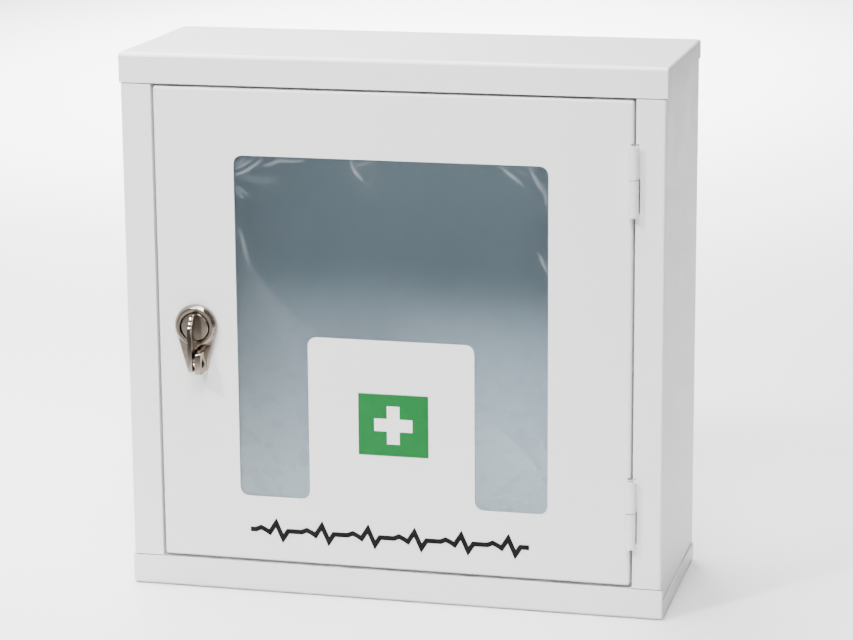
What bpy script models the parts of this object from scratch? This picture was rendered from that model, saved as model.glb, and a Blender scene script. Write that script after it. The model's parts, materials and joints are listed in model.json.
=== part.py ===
"""Wall cabinet for a defibrillator: a box of folded sheet steel, a glazed door and a padlockable turn latch.

World frame, in metres: +X to the right of someone facing the door, +Y towards the wall, +Z up.
The origin is the centre of the cabinet's underside. The door hangs on its right edge and is shown shut,
and the latch is shown locked. Outlines of flat pieces are (X, Z) points seen from the front.
"""

import math

import bmesh
import bpy
from mathutils import Matrix, Vector

# Cabinet
WIDTH = 0.380
HEIGHT = 0.380
DEPTH = 0.140
SHEET = 0.0008
GAP = 0.00025
FOLD_RADIUS = 0.002
FOLD_SEGMENTS = 4
LEFT = -WIDTH / 2
RIGHT = WIDTH / 2
FRONT = -DEPTH / 2
BACK = DEPTH / 2

# Front frame: the rails belong to the top and bottom panels, the stiles to the side panels
OPENING_LEFT = -0.1674
OPENING_RIGHT = 0.1690
OPENING_BOTTOM = 0.0214
OPENING_TOP = 0.3593
CAP_FLANGE = 0.013
CAP_FRONT_RADIUS = 0.003
CAP_CORNER_RADIUS = 0.0012
CAP_CORNER_DEPTH = 0.0025
STILE_END_GAP = 0.0007
SIDE_INSET = SHEET + GAP
STOP_DEPTH = 0.016
STOP_LIP = 0.008
STOP_RADIUS = 0.001

# Back panel
BACK_FLANGE = 0.012
WALL_HOLE_RADIUS = 0.0035
WALL_HOLE_X = 0.160
WALL_HOLE_Z = (0.050, 0.330)

# Door
DOOR_LEFT = -0.1657
DOOR_RIGHT = 0.1673
DOOR_BOTTOM = 0.0234
DOOR_TOP = 0.3575
DOOR_DEPTH = 0.014
BUFFER_RADIUS = 0.004
BUFFER_Z = (0.080, 0.300)

# Window: a rectangle with a solid tab that rises into it from below
WINDOW_LEFT = -0.1090
WINDOW_RIGHT = 0.1103
WINDOW_BOTTOM = 0.0702
WINDOW_TOP = 0.3116
WINDOW_RADIUS = 0.006
TAB_LEFT = -0.0583
TAB_RIGHT = 0.0593
TAB_TOP = 0.1866
PANE_OVERLAP = 0.014
PANE_THICKNESS = 0.003
FILM_OVERLAP = 0.003
FILM_THICKNESS = 0.0002

# Glazing strips, each held by two welded studs and nuts
STRIP_WIDTH = 0.010
STRIP_THICKNESS = 0.0015
STRIP_OFFSET = 0.003
STUD_RADIUS = 0.002
STUD_END = 0.012
STUD_CLEARANCE = 0.0003
STUD_SPREAD = 0.35
NUT_RADIUS = 0.0040
NUT_THICKNESS = 0.0032

# Printed labels
LABEL_THICKNESS = 0.0002
LABEL_GAP = 0.00015
SIGN_LEFT = -0.0227
SIGN_RIGHT = 0.0269
SIGN_BOTTOM = 0.1053
SIGN_TOP = 0.1490
PULSE_LEFT = -0.1020
PULSE_RIGHT = 0.0975
PULSE_CENTRE = 0.0460
PULSE_HEIGHT = 0.0180
PULSE_STROKE = 0.0034
PULSE_BEATS = 6
# One beat, as (share of the beat's length, height of the line)
PULSE_BEAT = ((0.12, 0.0), (0.23, 0.30), (0.34, 0.0), (0.42, -0.30), (0.56, 1.0), (0.71, -1.0), (0.82, 0.0))

# Hinges, with their knuckles in front of the gap between door and frame
HINGE_X = 0.1682
HINGE_Y = FRONT - 0.0038
HINGE_LENGTH = 0.0475
HINGE_CENTRES = {"upper": 0.3040, "lower": 0.0750}
KNUCKLE_RADIUS = 0.0035
KNUCKLE_SPLIT = 0.0005
KNUCKLE_SPLIT_RISE = 0.0015
PIN_RADIUS = 0.0015
PIN_CLEARANCE = 0.0003
LEAF_THICKNESS = 0.0009
LEAF_DEPTH = 0.012
HINGE_SLOT_WIDTH = 0.0030
HINGE_SLOT_MARGIN = 0.0020
HINGE_NOTCH_HALF_WIDTH = 0.0028
HINGE_NOTCH_HEIGHT = 0.0011

# Turn latch. Its sizes are measured from the turning axis, depths from the cabinet's front
LATCH_X = -0.1379
LATCH_Z = 0.1910
BEZEL_RADIUS = 0.01515
BEZEL_THICKNESS = 0.0040
BEZEL_EDGE = 0.0008
BEZEL_EDGE_ANGLE = math.radians(60)
TAIL_DROP = 0.0324
TAIL_WIDTH = 0.0139
TAIL_RADIUS = 0.0025
RING_RADIUS = 0.0128
RING_FRONT = 0.0060
ROTOR_RADIUS = 0.01025
ROTOR_FRONT = 0.0065
RECESS_RADIUS = 0.0106
RECESS_FLOOR = 0.0025
BARREL_RADIUS = 0.0090
BARREL_END = 0.0170
BARREL_CLEARANCE = 0.0003
SHAFT_RADIUS = 0.0060
SHAFT_END = 0.0173
LUG_LEFT = 0.0030
LUG_RIGHT = 0.0074
LUG_TOP = -0.0161
LUG_BOTTOM = -0.0315
LUG_FRONT = 0.0170
WING_HALF_THICKNESS = 0.00165
WING_TOP = 0.0098
WING_SHOULDER = 0.0010
WING_BOTTOM = -0.0296
WING_LIP = 0.0115
WING_FRONT = 0.0180
LUG_CORNER_RADIUS = 0.0015
PADLOCK_HOLE_RADIUS = 0.00325
PADLOCK_HOLE_Z = -0.0243
PADLOCK_HOLE_DEPTH = 0.0112
LOCK_NUT_RADIUS = 0.0130
LOCK_NUT_THICKNESS = 0.0040
WASHER_THICKNESS = 0.0010
LOCK_WASHER_RADIUS = 0.0120
CAM_LENGTH = 0.0270
CAM_HALF_WIDTH = 0.0080
CAM_THICKNESS = 0.0025
CAM_FRONT = SHAFT_END + GAP
CAM_SCREW_RADIUS = 0.0025
CAM_SCREW_HEAD_RADIUS = 0.0046
CAM_SCREW_HEAD_THICKNESS = 0.0033
CAM_SCREW_DEPTH = 0.0100
CAM_WASHER_RADIUS = 0.0050

# Fineness
ROUND_STEPS = 32
SMALL_STEPS = 16
CORNER_STEPS = 4
SMOOTH_ANGLE = math.radians(35)
WELD_DISTANCE = 1e-6
REACH = 0.01

PAINT = ("white_powder_coat", (0.80, 0.80, 0.79), 0.45, 0.0)
HINGE_PAINT = ("white_hinge_paint", (0.80, 0.80, 0.79), 0.40, 0.0)
ZINC = ("zinc_plated_steel", (0.62, 0.62, 0.60), 0.35, 1.0)
NICKEL = ("nickel_plate", (0.55, 0.52, 0.48), 0.22, 1.0)
ACRYLIC = ("clear_acrylic", (0.86, 0.92, 0.96), 0.05, 0.0)
FILM = ("protective_film", (0.90, 0.94, 0.97), 0.20, 0.0)
RUBBER = ("grey_rubber", (0.12, 0.12, 0.12), 0.80, 0.0)
SIGN_GREEN = ("sign_vinyl", (0.05, 0.36, 0.10), 0.40, 0.0)
BLACK_VINYL = ("pulse_vinyl", (0.03, 0.03, 0.03), 0.40, 0.0)

# Which world axis takes a flat outline's first and second coordinate and its extrusion, for each direction
AXIS_ORDER = {"X": (1, 2, 0), "Y": (0, 2, 1), "Z": (0, 1, 2)}


def clear_scene():
    for item in list(bpy.data.objects):
        bpy.data.objects.remove(item, do_unlink=True)


def new_collection(name):
    collection = bpy.data.collections.new(name)
    bpy.context.scene.collection.children.link(collection)
    return collection


def material_of(finish):
    """The material for a finish of (name, colour, roughness, metallic), made once."""
    name, colour, roughness, metallic = finish
    known = bpy.data.materials.get(name)
    if known:
        return known
    made = bpy.data.materials.new(name)
    made.use_nodes = True
    shader = made.node_tree.nodes["Principled BSDF"]
    shader.inputs["Base Color"].default_value = (*colour, 1.0)
    shader.inputs["Roughness"].default_value = roughness
    shader.inputs["Metallic"].default_value = metallic
    return made


class Assembly:
    """Puts pieces in the cabinet's collection and their cutters in another, which isn't rendered."""

    def __init__(self):
        self.pieces = new_collection("defibrillator_cabinet")
        self.cutters = new_collection("cutters")

    def body(self, name, location):
        """An empty that a moving group of pieces hangs on."""
        empty = bpy.data.objects.new(name, None)
        empty.empty_display_size = REACH
        empty.location = location
        self.pieces.objects.link(empty)
        bpy.context.view_layer.update()
        return empty

    def piece(self, name, mesh, finish, parent, location=(0, 0, 0)):
        """A visible piece, placed in the world and then hung on its parent."""
        made = bpy.data.objects.new(name, mesh)
        made.location = location
        made.parent = parent
        made.matrix_parent_inverse = parent.matrix_world.inverted()
        mesh.materials.clear()
        mesh.materials.append(material_of(finish))
        mesh.shade_smooth()
        mesh.set_sharp_from_angle(angle=SMOOTH_ANGLE)
        self.pieces.objects.link(made)
        return made

    def cutter(self, mesh):
        made = bpy.data.objects.new(mesh.name, mesh)
        made.hide_render = True
        made.display_type = "WIRE"
        self.cutters.objects.link(made)
        return made

    def combine(self, piece, mesh, operation):
        change = piece.modifiers.new(mesh.name, "BOOLEAN")
        change.operation = operation
        change.object = self.cutter(mesh)

    def cut(self, piece, *meshes):
        for mesh in meshes:
            self.combine(piece, mesh, "DIFFERENCE")

    def join(self, piece, *meshes):
        for mesh in meshes:
            self.combine(piece, mesh, "UNION")


def arc_points(centre, radius, start, turn, steps):
    """Points of an arc from the start angle through the turn, both ends included."""
    angles = [start + turn * step / steps for step in range(steps + 1)]
    return [(centre[0] + radius * math.cos(a), centre[1] + radius * math.sin(a)) for a in angles]


def circle(centre, radius, steps=ROUND_STEPS):
    return arc_points(centre, radius, 0.0, math.tau, steps)[:-1]


def hexagon(centre, radius):
    return circle(centre, radius, 6)


def rounded(corners, radius, steps=CORNER_STEPS):
    """A closed outline through the corners, with an arc in place of each."""
    outline = []
    for index, corner in enumerate(corners):
        point = Vector(corner)
        before = (Vector(corners[index - 1]) - point).normalized()
        after = (Vector(corners[(index + 1) % len(corners)]) - point).normalized()
        half_angle = before.angle(after) / 2
        centre = point + (before + after).normalized() * radius / math.sin(half_angle)
        tangent = radius / math.tan(half_angle)
        first = point + before * tangent - centre
        last = point + after * tangent - centre
        start = math.atan2(first.y, first.x)
        turn = math.remainder(math.atan2(last.y, last.x) - start, math.tau)
        outline += arc_points(centre, radius, start, turn, steps)
    return outline


def rectangle(left, bottom, right, top):
    return [(left, bottom), (right, bottom), (right, top), (left, top)]


def mesh_from(name, shape):
    """A mesh from a bmesh, with its faces turned outwards. Their normals are read afresh first."""
    shape.normal_update()
    bmesh.ops.recalc_face_normals(shape, faces=shape.faces[:])
    mesh = bpy.data.meshes.new(name)
    shape.to_mesh(mesh)
    shape.free()
    return mesh


def plate(name, outlines, low, high, along="Y"):
    """Filled flat outlines, with holes where one lies inside another, extruded along an axis.

    The outlines are (X, Z) points for an extrusion along Y, (Y, Z) along X and (X, Y) along Z.
    """
    curve = bpy.data.curves.new(name, "CURVE")
    curve.dimensions = "2D"
    curve.fill_mode = "BOTH"
    curve.extrude = (high - low) / 2
    for outline in outlines:
        spline = curve.splines.new("POLY")
        spline.points.add(len(outline) - 1)
        spline.use_cyclic_u = True
        for point, (across, up) in zip(spline.points, outline):
            point.co = (across, up, 0.0, 1.0)
    guide = bpy.data.objects.new(name, curve)
    bpy.context.scene.collection.objects.link(guide)
    graph = bpy.context.evaluated_depsgraph_get()
    filled = bpy.data.meshes.new_from_object(guide.evaluated_get(graph))
    bpy.data.objects.remove(guide)
    shape = bmesh.new()
    shape.from_mesh(filled)
    bpy.data.meshes.remove(filled)
    bmesh.ops.remove_doubles(shape, verts=shape.verts, dist=WELD_DISTANCE)
    for vert in shape.verts:
        local = (vert.co.x, vert.co.y, vert.co.z + (low + high) / 2)
        world = [0.0, 0.0, 0.0]
        for value, place in zip(local, AXIS_ORDER[along]):
            world[place] = value
        vert.co = world
    return mesh_from(name, shape)


def box_shape(low, high, open_sides=()):
    """A box between two corners, without the faces that look towards the open sides."""
    low, high = Vector(low), Vector(high)
    shape = bmesh.new()
    placing = Matrix.Translation((low + high) / 2) @ Matrix.Diagonal((*(high - low), 1.0))
    bmesh.ops.create_cube(shape, size=1.0, matrix=placing)
    shape.normal_update()
    missing = [face for face in shape.faces if any(face.normal.dot(Vector(side)) > 0 for side in open_sides)]
    bmesh.ops.delete(shape, geom=missing, context="FACES")
    return shape


def box(name, low, high):
    return mesh_from(name, box_shape(low, high))


def cylinder(name, centre, radius, low, high, along="Z", steps=SMALL_STEPS):
    """A closed cylinder along an axis; the centre is given in the two other axes, in X, Y, Z order."""
    place = list(centre)
    place.insert("XYZ".index(along), (low + high) / 2)
    quarter = math.pi / 2
    turn = {"X": Matrix.Rotation(quarter, 4, "Y"), "Y": Matrix.Rotation(quarter, 4, "X"), "Z": Matrix()}
    shape = bmesh.new()
    bmesh.ops.create_cone(
        shape,
        cap_ends=True,
        segments=steps,
        radius1=radius,
        radius2=radius,
        depth=high - low,
        matrix=Matrix.Translation(place) @ turn[along],
    )
    return mesh_from(name, shape)


def fold(piece, radius=FOLD_RADIUS, thickness=SHEET, inward=True, limit="ANGLE"):
    """Rounds an open surface's folds, and gives it the sheet's thickness behind its outer face."""
    bend = piece.modifiers.new("folds", "BEVEL")
    bend.width = radius
    bend.segments = FOLD_SEGMENTS
    bend.limit_method = limit
    wall = piece.modifiers.new("sheet", "SOLIDIFY")
    wall.thickness = thickness
    wall.offset = -1.0 if inward else 1.0
    wall.use_even_offset = True


def weigh_folds(shape):
    """Sets how round each fold of a cap is, as a share of the fold between its plate and its front rail."""
    radii = (CAP_FRONT_RADIUS, FOLD_RADIUS, CAP_CORNER_RADIUS)
    weights = shape.edges.layers.float.new("bevel_weight_edge")
    for edge in shape.edges:
        run = edge.verts[1].co - edge.verts[0].co
        along = max(range(3), key=lambda axis: abs(run[axis]))
        edge[weights] = 0.0 if edge.is_boundary else radii[along] / CAP_FRONT_RADIUS


def make_cap(parts, name, cabinet, is_top):
    """Top or bottom panel: a plate with the front rail and two side flanges folded from it."""
    if is_top:
        low_z, high_z, up = OPENING_TOP, HEIGHT, Vector((0, 0, 1))
        trim_low, trim_high = OPENING_TOP - REACH, HEIGHT - CAP_FLANGE
    else:
        low_z, high_z, up = 0.0, OPENING_BOTTOM, Vector((0, 0, -1))
        trim_low, trim_high = CAP_FLANGE, OPENING_BOTTOM + REACH
    shape = box_shape((LEFT, FRONT, low_z), (RIGHT, BACK, high_z), open_sides=(-up, (0, 1, 0)))
    weigh_folds(shape)
    panel = parts.piece(name, mesh_from(name, shape), PAINT, cabinet)
    fold(panel, CAP_FRONT_RADIUS, limit="WEIGHT")
    low = (LEFT - REACH, FRONT + CAP_CORNER_DEPTH, trim_low)
    high = (RIGHT + REACH, BACK + REACH, trim_high)
    parts.cut(panel, box(f"{name}_flange_trim", low, high))


def side_sheet(name, side):
    """A side wall and its front stile as one open surface, for the side at -1 (left) or +1 (right)."""
    outer = side * (RIGHT - SIDE_INSET)
    inner = OPENING_LEFT if side < 0 else OPENING_RIGHT
    low = (min(outer, inner), FRONT, FOLD_RADIUS)
    high = (max(outer, inner), BACK, HEIGHT - FOLD_RADIUS)
    return mesh_from(name, box_shape(low, high, open_sides=((0, 1, 0), (-side, 0, 0), (0, 0, 1), (0, 0, -1))))


def make_side(parts, name, cabinet, side):
    panel = parts.piece(name, side_sheet(name, side), PAINT, cabinet)
    fold(panel)
    near, far = (LEFT - REACH, FRONT - REACH), (RIGHT + REACH, FRONT + CAP_CORNER_DEPTH)
    stile_bottom = OPENING_BOTTOM + STILE_END_GAP
    stile_top = OPENING_TOP - STILE_END_GAP
    above = box(f"{name}_top_relief", (*near, stile_top), (*far, HEIGHT + REACH))
    below = box(f"{name}_bottom_relief", (*near, -REACH), (*far, stile_bottom))
    parts.cut(panel, above, below)
    return panel


def make_back(parts, cabinet):
    """Back panel: a shallow tray whose flanges sit inside the box, with four holes for wall screws."""
    inset = SIDE_INSET + SHEET + GAP
    low = (LEFT + inset, BACK - BACK_FLANGE, SIDE_INSET)
    high = (RIGHT - inset, BACK, HEIGHT - SIDE_INSET)
    shape = box_shape(low, high, open_sides=((0, -1, 0),))
    panel = parts.piece("back_panel", mesh_from("back_panel", shape), PAINT, cabinet)
    fold(panel)
    for x in (-WALL_HOLE_X, WALL_HOLE_X):
        for z in WALL_HOLE_Z:
            hole = cylinder("wall_hole", (x, z), WALL_HOLE_RADIUS, BACK - REACH, BACK + REACH, "Y")
            parts.cut(panel, hole)


def make_stop_frame(parts, cabinet):
    """Frame inside the opening: four walls behind the rails and stiles, and a lip the door shuts against."""
    low = (OPENING_LEFT, FRONT + SIDE_INSET, OPENING_BOTTOM)
    high = (OPENING_RIGHT, FRONT + STOP_DEPTH - SHEET, OPENING_TOP)
    shape = box_shape(low, high, open_sides=((0, -1, 0),))
    back_face = max(shape.faces, key=lambda face: face.calc_center_median().y)
    bmesh.ops.inset_individual(shape, faces=[back_face], thickness=STOP_LIP, use_even_offset=True)
    bmesh.ops.delete(shape, geom=[back_face], context="FACES_ONLY")
    frame = parts.piece("door_stop_frame", mesh_from("door_stop_frame", shape), PAINT, cabinet)
    fold(frame, STOP_RADIUS, inward=False)
    return frame


def hinge_span(centre):
    return centre - HINGE_LENGTH / 2, centre + HINGE_LENGTH / 2


def knuckle_ends(centre):
    """Top of the door's knuckle and bottom of the frame's, a little above the hinge's middle."""
    split = centre + KNUCKLE_SPLIT_RISE
    return split - KNUCKLE_SPLIT / 2, split + KNUCKLE_SPLIT / 2


def hinge_clearances(centre):
    """Cutters beside the door's knuckle and above the hinge, where the front sheets leave room for them."""
    low, high = hinge_span(centre)
    front, back = FRONT - REACH, FRONT + CAP_CORNER_DEPTH
    slot_low = (OPENING_RIGHT - GAP, front, low + HINGE_SLOT_MARGIN)
    slot_high = (OPENING_RIGHT + HINGE_SLOT_WIDTH, back, knuckle_ends(centre)[1])
    notch_low = (HINGE_X - HINGE_NOTCH_HALF_WIDTH, front, high)
    notch_high = (HINGE_X + HINGE_NOTCH_HALF_WIDTH, back, high + HINGE_NOTCH_HEIGHT)
    return box("hinge_slot", slot_low, slot_high), box("hinge_notch", notch_low, notch_high)


def make_leaf(parts, name, parent, low, high, leaf_left):
    """A hinge leaf: a knuckle round the pin, with a plate that goes back through the gap beside the door."""
    leaf_low = (leaf_left, HINGE_Y, low)
    leaf_high = (leaf_left + LEAF_THICKNESS, FRONT + LEAF_DEPTH, high)
    leaf = parts.piece(name, box(name, leaf_low, leaf_high), HINGE_PAINT, parent)
    centre = (HINGE_X, HINGE_Y)
    bore_radius = PIN_RADIUS + PIN_CLEARANCE
    parts.join(leaf, cylinder(f"{name}_knuckle", centre, KNUCKLE_RADIUS, low, high, steps=ROUND_STEPS))
    parts.cut(leaf, cylinder(f"{name}_bore", centre, bore_radius, low - REACH, high + REACH))


def make_hinge(parts, place, centre, cabinet, door):
    low, high = hinge_span(centre)
    door_knuckle_top, frame_knuckle_bottom = knuckle_ends(centre)
    frame_leaf_left = OPENING_RIGHT - GAP - LEAF_THICKNESS
    make_leaf(parts, f"{place}_hinge_frame_leaf", cabinet, frame_knuckle_bottom, high, frame_leaf_left)
    make_leaf(parts, f"{place}_hinge_door_leaf", door, low, door_knuckle_top, DOOR_RIGHT + GAP)
    name = f"{place}_hinge_pin"
    pin = cylinder(name, (HINGE_X, HINGE_Y), PIN_RADIUS, low - GAP, high + GAP)
    parts.piece(name, pin, ZINC, cabinet)


def make_buffers(parts, cabinet):
    """Rubber buffers on the stop lip at the latch side, which the door's flange shuts against."""
    radius = BUFFER_RADIUS
    high = FRONT + STOP_DEPTH - SHEET - GAP
    low = FRONT + DOOR_DEPTH + GAP
    for index, z in enumerate(BUFFER_Z, start=1):
        name = f"door_buffer_{index}"
        mesh = cylinder(name, (OPENING_LEFT + radius + GAP, z), radius, low, high, "Y")
        parts.piece(name, mesh, RUBBER, cabinet)


def window_outline():
    """The window's outline: a rectangle whose lower edge steps up round the tab."""
    corners = [
        (WINDOW_LEFT, WINDOW_BOTTOM),
        (TAB_LEFT, WINDOW_BOTTOM),
        (TAB_LEFT, TAB_TOP),
        (TAB_RIGHT, TAB_TOP),
        (TAB_RIGHT, WINDOW_BOTTOM),
        (WINDOW_RIGHT, WINDOW_BOTTOM),
        (WINDOW_RIGHT, WINDOW_TOP),
        (WINDOW_LEFT, WINDOW_TOP),
    ]
    return rounded(corners, WINDOW_RADIUS)


def round_window(overlap):
    """A rectangle that reaches past the window by an overlap on each side."""
    left, right = WINDOW_LEFT - overlap, WINDOW_RIGHT + overlap
    return rectangle(left, WINDOW_BOTTOM - overlap, right, WINDOW_TOP + overlap)


def make_door_panel(parts, door):
    low = (DOOR_LEFT, FRONT, DOOR_BOTTOM)
    high = (DOOR_RIGHT, FRONT + DOOR_DEPTH, DOOR_TOP)
    shape = box_shape(low, high, open_sides=((0, 1, 0),))
    panel = parts.piece("door_panel", mesh_from("door_panel", shape), PAINT, door)
    fold(panel)
    front, back = FRONT - REACH, FRONT + SHEET + REACH
    window = plate("window_cut", [window_outline()], front, back)
    lock_radius = BARREL_RADIUS + BARREL_CLEARANCE
    lock_hole = cylinder("lock_cut", (LATCH_X, LATCH_Z), lock_radius, front, back, "Y", ROUND_STEPS)
    parts.cut(panel, window, lock_hole)
    return panel


def strip_spans():
    """(left, bottom, right, top) of each glazing strip, just outside the window."""
    left = WINDOW_LEFT - STRIP_OFFSET
    right = WINDOW_RIGHT + STRIP_OFFSET
    bottom = WINDOW_BOTTOM - STRIP_OFFSET
    top = WINDOW_TOP + STRIP_OFFSET
    far_left, far_right = left - STRIP_WIDTH, right + STRIP_WIDTH
    return {
        "top": (far_left, top, far_right, top + STRIP_WIDTH),
        "bottom": (far_left, bottom - STRIP_WIDTH, far_right, bottom),
        "left": (far_left, bottom + GAP, left, top - GAP),
        "right": (right, bottom + GAP, far_right, top - GAP),
    }


def stud_places(span):
    """The two studs along a strip, on its centre line."""
    left, bottom, right, top = span
    centre = Vector(((left + right) / 2, (bottom + top) / 2))
    reach = Vector((right - left, 0)) if right - left > top - bottom else Vector((0, top - bottom))
    return [tuple(centre - reach * STUD_SPREAD), tuple(centre + reach * STUD_SPREAD)]


def make_glazing(parts, door):
    """The pane with its protective film, and the strips, studs and nuts that clamp it to the door."""
    film_front = FRONT + SHEET + GAP
    pane_front = film_front + FILM_THICKNESS + GAP
    strip_front = pane_front + PANE_THICKNESS + GAP
    nut_front = strip_front + STRIP_THICKNESS + GAP
    spans = strip_spans()
    studs = [place for span in spans.values() for place in stud_places(span)]
    hole_radius = STUD_RADIUS + STUD_CLEARANCE
    film_back = film_front + FILM_THICKNESS
    film = plate("protective_film", [round_window(FILM_OVERLAP)], film_front, film_back)
    parts.piece("protective_film", film, FILM, door)
    pane_holes = [circle(stud, hole_radius, SMALL_STEPS) for stud in studs]
    pane_edges = [round_window(PANE_OVERLAP), *pane_holes]
    pane = plate("window_pane", pane_edges, pane_front, pane_front + PANE_THICKNESS)
    parts.piece("window_pane", pane, ACRYLIC, door)
    for place, span in spans.items():
        name = f"glazing_strip_{place}"
        holes = [circle(stud, hole_radius, SMALL_STEPS) for stud in stud_places(span)]
        strip = plate(name, [rectangle(*span), *holes], strip_front, strip_front + STRIP_THICKNESS)
        parts.piece(name, strip, ZINC, door)
    stud_mesh = cylinder("glazing_stud", (0, 0), STUD_RADIUS, FRONT + SHEET + GAP, FRONT + STUD_END, "Y")
    nut_outlines = [hexagon((0, 0), NUT_RADIUS), circle((0, 0), hole_radius, SMALL_STEPS)]
    nut_mesh = plate("glazing_nut", nut_outlines, nut_front, nut_front + NUT_THICKNESS)
    for index, (x, z) in enumerate(studs, start=1):
        parts.piece(f"glazing_stud_{index}", stud_mesh, ZINC, door, (x, 0, z))
        parts.piece(f"glazing_nut_{index}", nut_mesh, ZINC, door, (x, 0, z))


def pulse_line():
    """Centre line of the printed pulse trace: flat runs with a small wave and a tall spike in each beat."""
    half = PULSE_HEIGHT / 2 - PULSE_STROKE
    beat = (PULSE_RIGHT - PULSE_LEFT) / PULSE_BEATS
    points = [(PULSE_LEFT, PULSE_CENTRE)]
    for index in range(PULSE_BEATS):
        start = PULSE_LEFT + index * beat
        points += [(start + share * beat, PULSE_CENTRE + height * half) for share, height in PULSE_BEAT]
    return points + [(PULSE_RIGHT, PULSE_CENTRE)]


def ribbon(line, width):
    """A closed outline that follows a line at half the width on each side, mitred at its corners."""
    points = [Vector(point) for point in line]
    upper, lower = [], []
    for index, point in enumerate(points):
        before = (point - points[index - 1]).normalized() if index else None
        after = (points[index + 1] - point).normalized() if index + 1 < len(points) else None
        before, after = before or after, after or before
        normal_before = Vector((-before.y, before.x))
        normal_after = Vector((-after.y, after.x))
        mitre = (normal_before + normal_after).normalized()
        offset = mitre * (width / 2) / mitre.dot(normal_before)
        upper.append(tuple(point + offset))
        lower.append(tuple(point - offset))
    return upper + lower[::-1]


def make_labels(parts, door):
    """The printed vinyl labels on the door: a green first-aid square and a black pulse trace."""
    back = FRONT - LABEL_GAP
    front = back - LABEL_THICKNESS
    sign = plate("sign_label", [rectangle(SIGN_LEFT, SIGN_BOTTOM, SIGN_RIGHT, SIGN_TOP)], front, back)
    parts.piece("sign_label", sign, SIGN_GREEN, door)
    pulse = plate("pulse_label", [ribbon(pulse_line(), PULSE_STROKE)], front, back)
    parts.piece("pulse_label", pulse, BLACK_VINYL, door)


def latch_point(across, up):
    return LATCH_X + across, LATCH_Z + up


def teardrop_outline():
    """The lock's flange: a circle that narrows down to the bottom of its tail along two tangents."""
    half = TAIL_WIDTH / 2
    distance = math.hypot(half, TAIL_DROP)
    tangent = math.atan2(-TAIL_DROP, half) + math.acos(BEZEL_RADIUS / distance)
    top = arc_points((LATCH_X, LATCH_Z), BEZEL_RADIUS, tangent, math.pi - 2 * tangent, ROUND_STEPS)
    low_corners = [latch_point(-half, -TAIL_DROP), latch_point(half, -TAIL_DROP)]
    tail = rounded([top[-1], low_corners[0], low_corners[1], top[0]], TAIL_RADIUS)
    corner_points = CORNER_STEPS + 1
    return top + tail[corner_points : 3 * corner_points]


def make_lock_body(parts, door):
    """Lock body: flange with tail, raised ring, padlock lug, and the barrel that passes through the door."""
    centre = (LATCH_X, LATCH_Z)
    flange = plate("lock_body", [teardrop_outline()], FRONT - BEZEL_THICKNESS, FRONT - GAP)
    lock = parts.piece("lock_body", flange, NICKEL, door)
    edge = lock.modifiers.new("edge", "BEVEL")
    edge.width = BEZEL_EDGE
    edge.segments = 2
    edge.limit_method = "ANGLE"
    edge.angle_limit = BEZEL_EDGE_ANGLE
    ring = cylinder("lock_ring", centre, RING_RADIUS, FRONT - RING_FRONT, FRONT - SHEET, "Y", ROUND_STEPS)
    barrel_back = FRONT + BARREL_END
    barrel = cylinder("lock_barrel", centre, BARREL_RADIUS, FRONT - SHEET, barrel_back, "Y", ROUND_STEPS)
    lug_corners = rectangle(FRONT - LUG_FRONT, LATCH_Z + LUG_BOTTOM, FRONT - SHEET, LATCH_Z + LUG_TOP)
    lug_outline = rounded(lug_corners, LUG_CORNER_RADIUS)
    lug = plate("lock_lug", [lug_outline], LATCH_X + LUG_LEFT, LATCH_X + LUG_RIGHT, "X")
    parts.join(lock, ring, barrel, lug)
    recess = cylinder(
        "lock_recess", centre, RECESS_RADIUS, FRONT - LUG_FRONT, FRONT - RECESS_FLOOR, "Y", ROUND_STEPS
    )
    bore_radius = SHAFT_RADIUS + BARREL_CLEARANCE
    bore = cylinder("lock_bore", centre, bore_radius, FRONT - REACH, barrel_back + REACH, "Y", ROUND_STEPS)
    parts.cut(lock, recess, bore, padlock_hole("lug_hole"))


def padlock_hole(name):
    centre = (FRONT - PADLOCK_HOLE_DEPTH, LATCH_Z + PADLOCK_HOLE_Z)
    return cylinder(name, centre, PADLOCK_HOLE_RADIUS, LATCH_X - REACH, LATCH_X + REACH, "X", ROUND_STEPS)


def make_lock_fixings(parts, door):
    """Washer and nut that clamp the lock body to the back of the door."""
    centre = (LATCH_X, LATCH_Z)
    hole = circle(centre, BARREL_RADIUS + BARREL_CLEARANCE)
    washer_front = FRONT + SHEET + GAP
    nut_front = washer_front + WASHER_THICKNESS + GAP
    nut_back = nut_front + LOCK_NUT_THICKNESS
    washer = plate("lock_washer", [circle(centre, LOCK_WASHER_RADIUS), hole], washer_front, nut_front - GAP)
    parts.piece("lock_washer", washer, ZINC, door)
    nut = plate("lock_nut", [hexagon(centre, LOCK_NUT_RADIUS), hole], nut_front, nut_back)
    parts.piece("lock_nut", nut, ZINC, door)


def wing_outline():
    """Side view, as (Y, Z), of the rotor's wing: a sloping front over the disc, and a straight arm below."""
    disc_front = FRONT - ROTOR_FRONT
    return [
        (disc_front + GAP, LATCH_Z + WING_BOTTOM),
        (disc_front + GAP, LATCH_Z + WING_TOP),
        (FRONT - WING_LIP, LATCH_Z + WING_TOP),
        (FRONT - WING_FRONT, LATCH_Z + WING_SHOULDER),
        (FRONT - WING_FRONT, LATCH_Z + WING_BOTTOM),
    ]


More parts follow.
